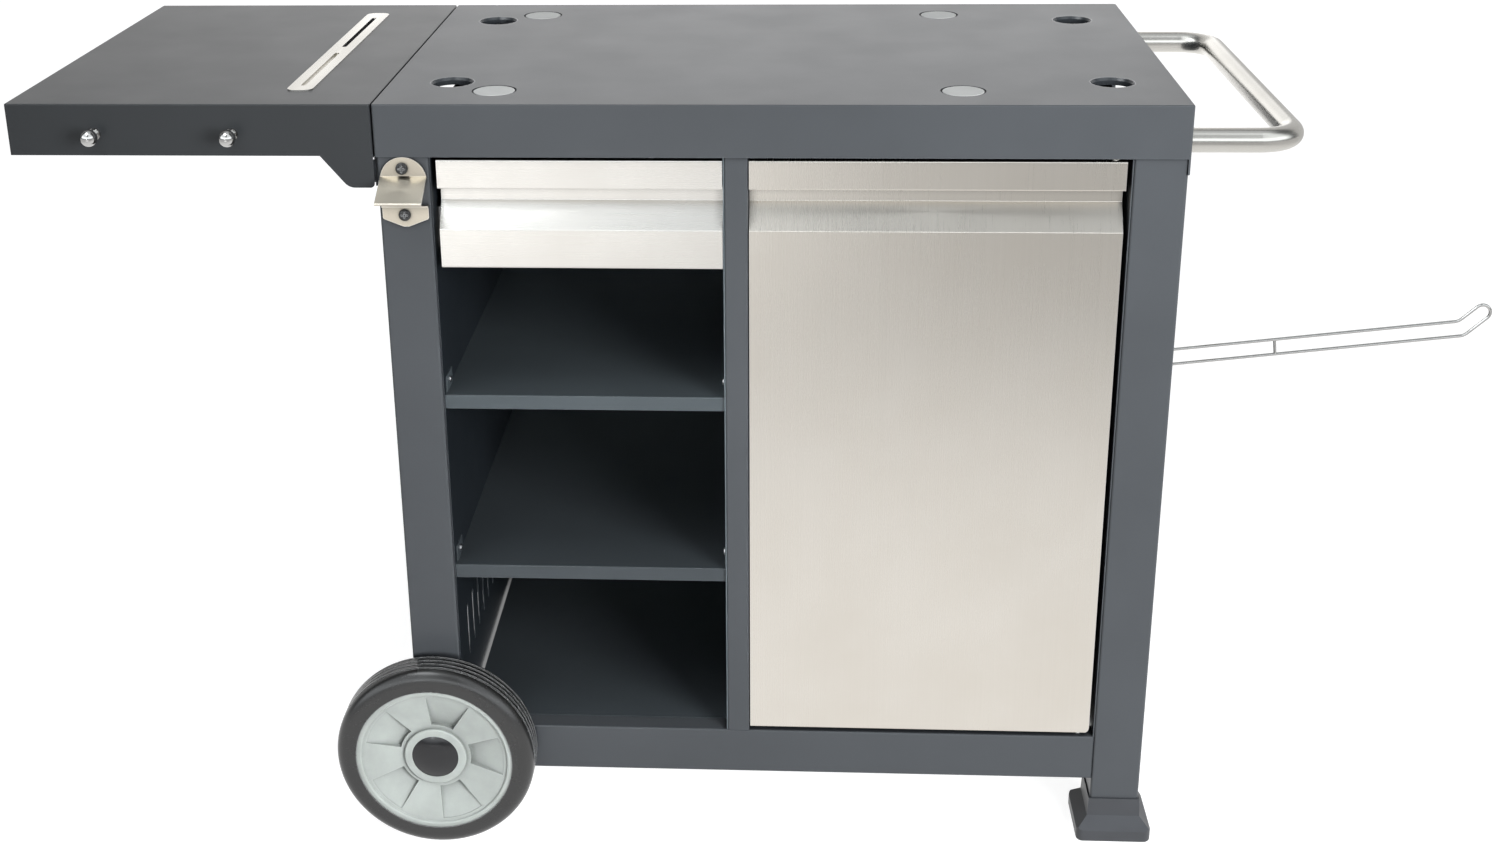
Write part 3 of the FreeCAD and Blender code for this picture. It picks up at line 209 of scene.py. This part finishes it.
def brushed_steel(name, grain, base, rough=0.28, crease_shade=0.0, crease_shade_reach=0.012):
    """Brushed stainless: fine grain one way, cloudy staining, bright edges from wear, and painted
    shade that darkens the creases.
    """
    edge_radius = 0.0012     # metres
    line_depth = 0.0003
    fine_depth = 0.0002
    fine_factor = 2.7        # how much closer the fine lines are than the wide ones
    most_stain = 0.40
    rough_spread = 0.05
    edge_tone = colour(0.97, 0.965, 0.95)
    stained_tone = colour(base[0] * 0.86, base[1] * 0.83, base[2] * 0.78)
    s = Shader(name)
    lines = s.noise(1.0, detail=3.0, rough=0.7, vector=s.stretched(grain))
    fine_grain = [part * fine_factor for part in grain]
    fine = s.noise(1.0, rough=0.8, vector=s.stretched(fine_grain))
    cloud = s.noise(3.0, detail=5.0, rough=0.62)
    blotch = s.noise(11.0, detail=4.0, rough=0.6)
    tone = s.mix(s.ranged(lines, 0.3, 0.7), scaled(base, 0.98), scaled(base, 1.02))
    patches = s.math("ADD", cloud, s.math("MULTIPLY", blotch, 0.35))
    tone = s.mix(s.ranged(patches, 0.55, 0.95, new_high=most_stain), tone, stained_tone)
    tone = s.mix(s.math("MULTIPLY", s.edge_mask(edge_radius), 0.8), tone, edge_tone)
    # Painted shade: creases darken towards a third of the steel's tone.
    if crease_shade > 0.0:
        painted_shade = s.math("MULTIPLY", s.shade_mask(crease_shade_reach), crease_shade)
        tone = s.mix(painted_shade, tone, scaled(base, 0.3))
    s.set("Base Color", tone)
    s.set("Metallic", 1.0)
    mottle = s.math("ADD", s.math("MULTIPLY", lines, 0.35), s.math("MULTIPLY", cloud, 0.65))
    s.set("Roughness", s.ranged(mottle, 0.3, 0.7, rough - rough_spread, rough + rough_spread))
    s.set("Anisotropic", 0.4)
    base_bump = s.bump(lines, strength=0.03, distance=line_depth)
    s.set("Normal", s.bump(fine, strength=0.02, distance=fine_depth, base=base_bump))
    return s.material


def bright_metal(name, base, rough):
    """Plated or polished metal with faint handling marks."""
    most_dull = 0.4
    mark_depth = 0.0002      # metres
    s = Shader(name)
    marks = s.noise(120.0, detail=4.0, rough=0.7)
    dull = s.ranged(marks, 0.35, 0.75, new_high=most_dull)
    s.set("Base Color", s.mix(dull, colour(*base), scaled(base, 0.8)))
    s.set("Metallic", 1.0)
    s.set("Roughness", s.ranged(marks, 0.3, 0.7, rough * 0.8, rough * 1.4))
    s.set("Normal", s.bump(s.noise(400.0), strength=0.03, distance=mark_depth))
    return s.material


def moulded(name, base, rough, grain=420.0, relief=0.10, shine=0.5, hollow_shade=0.0, edge_lightening=0.25,
            dust_and_highlight_lift=0.02):
    """Moulded plastic or rubber: fine grain, slight tone change, lighter edges from dusting (on
    the tyre and screws, painted highlights), and painted shade in hollows.
    """
    edge_radius = 0.0015     # metres
    # How far the painted shade in hollows reaches, in metres.
    hollow_shade_reach = 0.02
    grain_depth = 0.0004
    s = Shader(name)
    drift = s.noise(25.0, detail=4.0, rough=0.6)
    tone = s.mix(s.ranged(drift, 0.3, 0.7), scaled(base, 0.9), scaled(base, 1.1))
    # Edges lighten towards this tone: dusting, and where share and lift are strong, painted
    # highlights.
    dust_and_highlight_tone = scaled(base, 1.8, lift=dust_and_highlight_lift)
    tone = s.mix(s.math("MULTIPLY", s.edge_mask(edge_radius), edge_lightening), tone, dust_and_highlight_tone)
    # Painted shade: hollows darken towards a quarter of the tone.
    if hollow_shade > 0.0:
        painted_hollow_shade = s.math("MULTIPLY", s.shade_mask(hollow_shade_reach), hollow_shade)
        tone = s.mix(painted_hollow_shade, tone, scaled(base, 0.25))
    s.set("Base Color", tone)
    s.set("Roughness", s.ranged(drift, 0.3, 0.7, rough * 0.9, rough * 1.12))
    s.set("Specular IOR Level", shine)
    s.set("Normal", s.bump(s.noise(grain), strength=relief, distance=grain_depth))
    return s.material


def make_materials():
    drawer_steel = (0.74, 0.72, 0.685)
    door_steel = (0.69, 0.655, 0.60)
    warm_steel = (0.60, 0.55, 0.46)
    plate_steel = (0.63, 0.61, 0.565)
    tube_steel = (0.57, 0.555, 0.52)
    frame_tone = (0.043, 0.046, 0.050)
    # Painted shade: the side shelf takes a darker copy of the frame paint, for the light falling
    # off to the left.
    side_shelf_shade_tone = (0.020, 0.0215, 0.023)
    # Painted light: the upper shelf's paint is lighter and bluer than the frame paint, for the
    # light that reaches into the bays.
    bay_light_tone = (0.044, 0.052, 0.057)
    # Painted shade: the lower shelf and bottom pan take a darker copy of the frame paint.
    bay_shade_tone = (0.033, 0.038, 0.042)
    # Painted light: the back panel and centre partition are much lighter than the frame paint
    # where they face into the bays; faces that look back keep the frame tone.
    bay_light_back_tone = (0.076, 0.091, 0.099)
    # Painted shade: the left side panel takes a much darker copy of the frame paint, for its
    # shaded inner face.
    wall_shade_tone = (0.009, 0.011, 0.0135)
    outer_lift = (0.16, 0.175, 0.19)   # tones of the paints' edges, lightened by wear
    inner_lift = (0.15, 0.165, 0.175)
    dark_lift = (0.12, 0.13, 0.14)
    along = (2.0, 40.0, 1600.0)        # grain in x, y and z: the steel is brushed along the least
    upright = (1600.0, 40.0, 2.0)
    deep = (1600.0, 2.0, 40.0)
    mixed = (500.0, 300.0, 900.0)
    smooth_grain = 300.0
    return {
        # The frame paint takes painted shade in its creases.
        "painted_steel": powder_coat("powder_coat", frame_tone, outer_lift, crease_shade=0.7),
        "side_shelf_shade_paint": powder_coat("side_shelf_shade_paint", side_shelf_shade_tone, dark_lift),
        "bay_light_paint": powder_coat("bay_light_paint", bay_light_tone, inner_lift),
        "bay_shade_paint": powder_coat("bay_shade_paint", bay_shade_tone, inner_lift),
        "bay_light_back_paint": powder_coat("bay_light_back_paint", bay_light_back_tone, inner_lift, behind=frame_tone),
        "wall_shade_paint": powder_coat("wall_shade_paint", wall_shade_tone, dark_lift),
        # The drawer and door fronts take painted shade in their creases.
        "stainless": brushed_steel("stainless_panel", along, drawer_steel, crease_shade=0.5),
        "stainless_upright": brushed_steel("stainless_upright", upright, door_steel, crease_shade=0.5),
        "stainless_deep": brushed_steel("stainless_deep", deep, plate_steel, rough=0.27),
        # The opener's jaw darkens under its hood with painted shade.
        "stainless_opener": brushed_steel("stainless_opener", upright, warm_steel, rough=0.32,
                                          crease_shade=0.75, crease_shade_reach=0.035),
        "stainless_tube": brushed_steel("stainless_tube", mixed, tube_steel, rough=0.27),
        "chrome": bright_metal("chrome", (0.50, 0.495, 0.485), rough=0.10),
        "zinc_steel": bright_metal("zinc", (0.60, 0.60, 0.61), rough=0.28),
        # Strong edge lightening round the cross recess: painted glints.
        "black_screws": moulded("black_oxide", (0.006, 0.006, 0.006), rough=0.18,
                                shine=0.4, edge_lightening=0.9, dust_and_highlight_lift=0.3),
        "black_plastic": moulded("black_plastic", (0.008, 0.008, 0.009), rough=0.15,
                                 grain=smooth_grain, relief=0.04),
        "cup_plastic": moulded("cup_plastic", (0.030, 0.033, 0.037), rough=0.26,
                               grain=smooth_grain, relief=0.04),
        "ring_rubber": moulded("ring_rubber", (0.010, 0.010, 0.010), rough=0.60,
                               grain=smooth_grain, shine=0.1),
        "foot_plastic": moulded("foot_plastic", (0.030, 0.0315, 0.035), rough=0.45),
        "pale_plastic": moulded("pale_pad", (0.46, 0.46, 0.45), rough=0.55),
        "nylon": moulded("nylon", (0.85, 0.85, 0.83), rough=0.4),
        # The hub's pockets darken with painted shade.
        "hub_plastic": moulded("hub_plastic", (0.318, 0.336, 0.317), rough=0.36, hollow_shade=0.55),
        # Strong edge lightening on the tread ridges and shoulder: painted highlights.
        "tyre": moulded("tyre_rubber", (0.009, 0.0088, 0.0086), rough=0.27,
                        shine=0.7, edge_lightening=1.0, dust_and_highlight_lift=0.26),
    }


materials = make_materials()
finish_of = {entry["node"]: entry["material_slot"] for entry in frame["record"]["subparts"]}
special_finish = {
    # Interior and side parts take copies of the frame paint that carry painted light and painted
    # shade.
    "upper_shelf": "bay_light_paint",
    "lower_shelf": "bay_shade_paint",
    "bottom_pan": "bay_shade_paint",
    "back_panel": "bay_light_back_paint",
    "centre_partition": "bay_light_back_paint",
    "left_side_panel": "wall_shade_paint",
    "side_shelf_tray": "side_shelf_shade_paint",
    "door_skin": "stainless_upright",
    "handle": "stainless_tube",
    "slot_plate": "stainless_deep",
    "bottle_opener": "stainless_opener",
    "foot_cups": "cup_plastic",
    "pad_rings": "ring_rubber",
}


def dress(obj, key):
    obj.data.materials.clear()
    obj.data.materials.append(materials[key])


def smooth_by_angle(obj, degrees=35.0):
    """Smooth curved walls and keep real edges crisp."""
    for polygon in obj.data.polygons:
        polygon.use_smooth = True
    limit = math.radians(degrees)
    mesh = bmesh.new()
    mesh.from_mesh(obj.data)
    sharp = [edge.index for edge in mesh.edges
             if len(edge.link_faces) != 2 or edge.calc_face_angle(0.0) > limit]
    mesh.free()
    for index in sharp:
        obj.data.edges[index].use_edge_sharp = True


for name, obj in nodes.items():
    dress(obj, special_finish.get(name, finish_of[name]))
    smooth_by_angle(obj)


# ---------------------------------------------------------------------------
# Stage: floor, light, camera
# ---------------------------------------------------------------------------

def glow_near(s, place, centre, near, far, near_value, far_value):
    """A value that changes smoothly with distance from a point."""
    gap = s.add("ShaderNodeVectorMath")
    gap.operation = "DISTANCE"
    s.link(place, gap.inputs[0])
    gap.inputs[1].default_value = centre
    fade = s.add("ShaderNodeMapRange")
    fade.interpolation_type = "SMOOTHSTEP"
    s.link(gap.outputs["Value"], fade.inputs["Value"])
    fade.inputs["From Min"].default_value = near
    fade.inputs["From Max"].default_value = far
    fade.inputs["To Min"].default_value = near_value
    fade.inputs["To Max"].default_value = far_value
    return fade.outputs["Result"]


def studio_paper():
    """White paper to the camera; what metal and paint reflect from it dims away from the cart.
    From behind, the paper is clear, so that the cart's back can be looked at too.
    """
    camera_glow = 0.90
    soft_share = 0.30        # share of the mirrored glow that rough surfaces get
    high_wall_share = 0.25
    under_cart = (-0.2, 0.2, 0.0)
    front_right = (0.60, -2.90, 0.0)
    front_left = (-0.80, -2.90, 0.0)
    wall_middle = (0.8, 4.2, 1.8)
    s = Shader("studio_paper")
    grain = s.noise(0.6)
    s.set("Base Color", s.mix(grain, colour(0.30, 0.30, 0.30), colour(0.33, 0.33, 0.33)))
    s.set("Roughness", 0.9)
    s.set("Emission Color", colour(1.0, 1.0, 1.0))
    s.set("Emission Strength", camera_glow)
    where = s.add("ShaderNodeNewGeometry").outputs["Position"]
    spread = glow_near(s, where, under_cart, near=0.8, far=2.9, near_value=1.15, far_value=0.74)
    shade = glow_near(s, where, front_right, near=0.3, far=1.7, near_value=0.68, far_value=1.0)
    pool = glow_near(s, where, front_left, near=0.3, far=1.2, near_value=1.35, far_value=0.0)
    wall = glow_near(s, where, wall_middle, near=1.0, far=4.6, near_value=1.15, far_value=0.0)
    x, _, z = s.split(where)
    not_far_right = s.ranged(x, 1.65, 1.20)
    not_too_high = s.ranged(z, 2.60, 2.20, new_low=high_wall_share)
    wall = s.math("MULTIPLY", s.math("MULTIPLY", wall, not_far_right), not_too_high)
    strength = s.math("ADD", s.math("MULTIPLY", spread, shade), s.math("ADD", pool, wall))
    paths = s.add("ShaderNodeLightPath").outputs
    share = s.ranged(paths["Is Glossy Ray"], 0.0, 1.0, new_low=soft_share)
    glow = s.add("ShaderNodeEmission")
    s.link(s.math("MULTIPLY", strength, share), glow.inputs["Strength"])
    front = s.blend(paths["Is Camera Ray"], glow.outputs["Emission"], s.surface.outputs["BSDF"])
    clear = s.add("ShaderNodeBsdfTransparent").outputs["BSDF"]
    from_behind = s.add("ShaderNodeNewGeometry").outputs["Backfacing"]
    s.link(s.blend(from_behind, front, clear), s.output.inputs["Surface"])
    return s.material


def make_stage():
    """One sheet of paper: floor in front, smooth sweep, wall behind."""
    half_width = 14.0        # metres
    front = -14.0
    wall_y = 4.0
    wall_top = 7.0
    sweep = 1.5
    steps = 12
    profile = [(front, 0.0)]
    for step in range(steps + 1):
        angle = math.pi / 2 * step / steps
        profile.append((wall_y - sweep + sweep * math.sin(angle), sweep - sweep * math.cos(angle)))
    profile.append((wall_y, wall_top))
    vertices = [(x, y, z) for x in (-half_width, half_width) for y, z in profile]
    count = len(profile)
    faces = [(i, count + i, count + i + 1, i + 1) for i in range(count - 1)]
    mesh = bpy.data.meshes.new("studio_floor")
    mesh.from_pydata(vertices, [], faces)
    for polygon in mesh.polygons:
        polygon.use_smooth = True
    floor = bpy.data.objects.new("studio_floor", mesh)
    bpy.context.scene.collection.objects.link(floor)
    floor.data.materials.append(studio_paper())


def area_light(name, place, target, size, power, mirrored, spread=180.0):
    """A soft box; mirrored ones can be seen in metal, the others only light surfaces."""
    data = bpy.data.lights.new(name, "AREA")
    data.shape = "RECTANGLE"
    data.size, data.size_y = size
    data.energy = power
    data.color = (0.95, 0.98, 1.0)
    data.spread = math.radians(spread)
    light = bpy.data.objects.new(name, data)
    light.location = place
    light.rotation_euler = (Vector(target) - Vector(place)).to_track_quat("-Z", "Y").to_euler()
    light.visible_glossy = mirrored
    bpy.context.scene.collection.objects.link(light)


class Air(Shader):
    """The same short calls for the world's node tree."""

    def __init__(self, world):
        world.use_nodes = True
        self.tree = world.node_tree
        self.back = self.tree.nodes["Background"]

    def eased(self, value, low, high, new_low=0.0, new_high=1.0):
        result = self.ranged(value, low, high, new_low, new_high)
        result.node.interpolation_type = "SMOOTHSTEP"
        return result


def make_air():
    """Pale air; metal also sees side screens, a bright strip above the horizon and a ceiling."""
    screen_glow = 1.35
    strip_glow = 2.2
    ceiling_glow = 0.7
    rest_glow = 0.12
    soft_glow = 0.27         # what rough surfaces get from every side
    world = bpy.data.worlds.new("studio_air")
    bpy.context.scene.world = world
    air = Air(world)
    air.back.inputs["Color"].default_value = colour(0.93, 0.97, 1.0)
    x, y, z = air.split(air.add("ShaderNodeTexCoord").outputs["Generated"])
    aside = air.math("ADD", air.eased(x, 0.03, -0.11), air.eased(x, 0.19, 0.26))
    in_front = air.eased(y, 0.0, -0.3)
    above_floor = air.math("MULTIPLY", in_front, air.eased(z, 0.0, 0.10))
    low_band = air.math("MULTIPLY", air.eased(z, 0.06, 0.16), air.eased(z, 0.54, 0.42))
    screen = air.math("MULTIPLY", aside, screen_glow)
    strip = air.math("MULTIPLY", low_band, strip_glow)
    screens = air.math("MULTIPLY", above_floor, air.math("MAXIMUM", screen, strip))
    ceiling = air.eased(z, 0.84, 0.93, new_high=ceiling_glow)
    mirrored = air.math("ADD", screens, air.math("ADD", ceiling, rest_glow))
    glossy = air.add("ShaderNodeLightPath").outputs["Is Glossy Ray"]
    plain = air.math("MULTIPLY", air.math("SUBTRACT", 1.0, glossy), soft_glow)
    air.feed(air.back, "Strength", air.math("ADD", air.math("MULTIPLY", glossy, mirrored), plain))


def make_lights():
    area_light("key", place=(1.5, -2.0, 1.15), target=(0.3, 0.0, 0.6),
               size=(1.2, 1.2), power=128, mirrored=False)
    area_light("fill", place=(0.30, -3.1, 1.0), target=(0.2, 0.0, 0.60),
               size=(1.4, 1.0), power=22, mirrored=False)
    area_light("overhead", place=(-0.7, -1.3, 2.4), target=(-0.3, -0.2, 0.5),
               size=(1.3, 1.3), power=12, mirrored=False)
    area_light("bay", place=(-0.2, -2.4, 0.62), target=(-0.2, 0.2, 0.42),
               size=(0.4, 0.4), power=0.6, mirrored=False, spread=26.0)
    area_light("top_box", place=(-1.0, -0.75, 2.4), target=(-0.5, -0.3, 0.3),
               size=(1.0, 0.7), power=11, mirrored=True)
    area_light("catch_box", place=(-1.0, -2.7, 0.80), target=(-0.4, -0.3, 0.2),
               size=(0.26, 0.18), power=1.3, mirrored=True)
    make_air()


def make_camera():
    """Camera at the reference viewpoint, given from the worktop's centre line and front edge."""
    off_centre = 0.0254      # metres
    ahead = 1.8887
    height = 1.3531
    pitch = 0.3536           # radians
    yaw = -0.0621
    roll = -0.014
    top_low, top_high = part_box("worktop")
    centre_x = (top_low.x + top_high.x) / 2
    place = Vector((centre_x + off_centre, top_low.y - ahead, height))
    level = math.cos(pitch)
    forward = Vector((math.sin(yaw) * level, math.cos(yaw) * level, -math.sin(pitch)))
    right = Vector((math.cos(yaw), -math.sin(yaw), 0.0))
    up = right.cross(forward)
    rolled_right = math.cos(roll) * right + math.sin(roll) * up
    rolled_up = -math.sin(roll) * right + math.cos(roll) * up
    data = bpy.data.cameras.new("camera")
    data.sensor_width = 36.0
    data.lens = 45.32
    data.shift_x = 0.0393
    data.shift_y = -0.0821
    camera = bpy.data.objects.new("camera", data)
    axes = [rolled_right, rolled_up, -forward]
    for row in range(3):
        for column in range(3):
            camera.matrix_world[row][column] = axes[column][row]
    camera.matrix_world.translation = place
    bpy.context.scene.collection.objects.link(camera)
    bpy.context.scene.camera = camera
    bpy.context.scene.view_settings.view_transform = "Standard"


make_stage()
make_lights()
make_camera()
